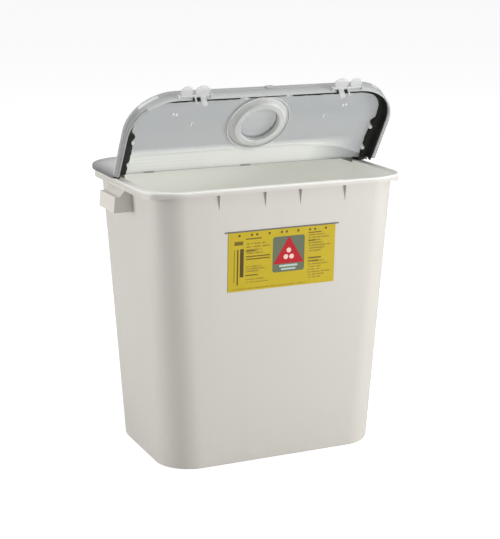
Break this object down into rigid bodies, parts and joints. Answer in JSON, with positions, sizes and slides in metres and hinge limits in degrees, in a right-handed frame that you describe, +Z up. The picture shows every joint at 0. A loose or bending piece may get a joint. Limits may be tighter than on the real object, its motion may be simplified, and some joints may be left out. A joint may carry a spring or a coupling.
{
  "type": "sharps container",
  "caption": "Large tapered waste tub for used sharps, with moulded side handles, a clear fixed rear lid and a clear hinged front flap with a round capped port.",
  "frame": {"origin": "centre of the tub's flat bottom, on the surface it rests on", "axes": "+Z up, -Y out of the labelled front (the side the flap covers), +X to the right as seen from the front"},
  "size_m": [0.4732, 0.3126, 0.603],
  "materials": {
    "container_white": "satin moulded polypropylene, warm white, opaque",
    "label_yellow": "printed film label",
    "pad_white": "absorbent fibre sheet",
    "clear_grey": "clear, slightly grey moulded plastic",
    "clear_white": "milky translucent moulded plastic",
    "foam_black": "matt black closed-cell foam"
  },
  "bodies": {
    "tub": {"container_body": "container_white", "front_label": "label_yellow", "absorbent_pad": "pad_white", "rear_lid": "clear_grey", "rear_gasket": "foam_black"},
    "flap": {"front_flap": "clear_grey", "flap_gasket": "foam_black", "port_collar": "clear_white"},
    "cap": {"port_cap": "clear_grey"},
    "left_latch": {"latch_left": "clear_white"},
    "right_latch": {"latch_right": "clear_white"}
  },
  "joints": [
    {"name": "flap_hinge", "type": "hinge", "parent": "tub", "child": "flap", "pos_m": [0, 0.0014, 0.4584], "axis": [-1, 0, 0], "range_deg": [-56.8, 38.2]},
    {"name": "port_cap_hinge", "type": "hinge", "parent": "flap", "child": "cap", "pos_m": [0, -0.01125, 0.48358], "axis": [-1, 0, 0], "range_deg": [0, 90]},
    {"name": "latch_left_hinge", "type": "hinge", "parent": "flap", "child": "left_latch", "pos_m": [0, -0.10578, 0.58749], "axis": [-1, 0, 0], "range_deg": [0, 35]},
    {"name": "latch_right_hinge", "type": "hinge", "parent": "flap", "child": "right_latch", "pos_m": [0, -0.10578, 0.58749], "axis": [-1, 0, 0], "range_deg": [0, 35]}
  ]
}
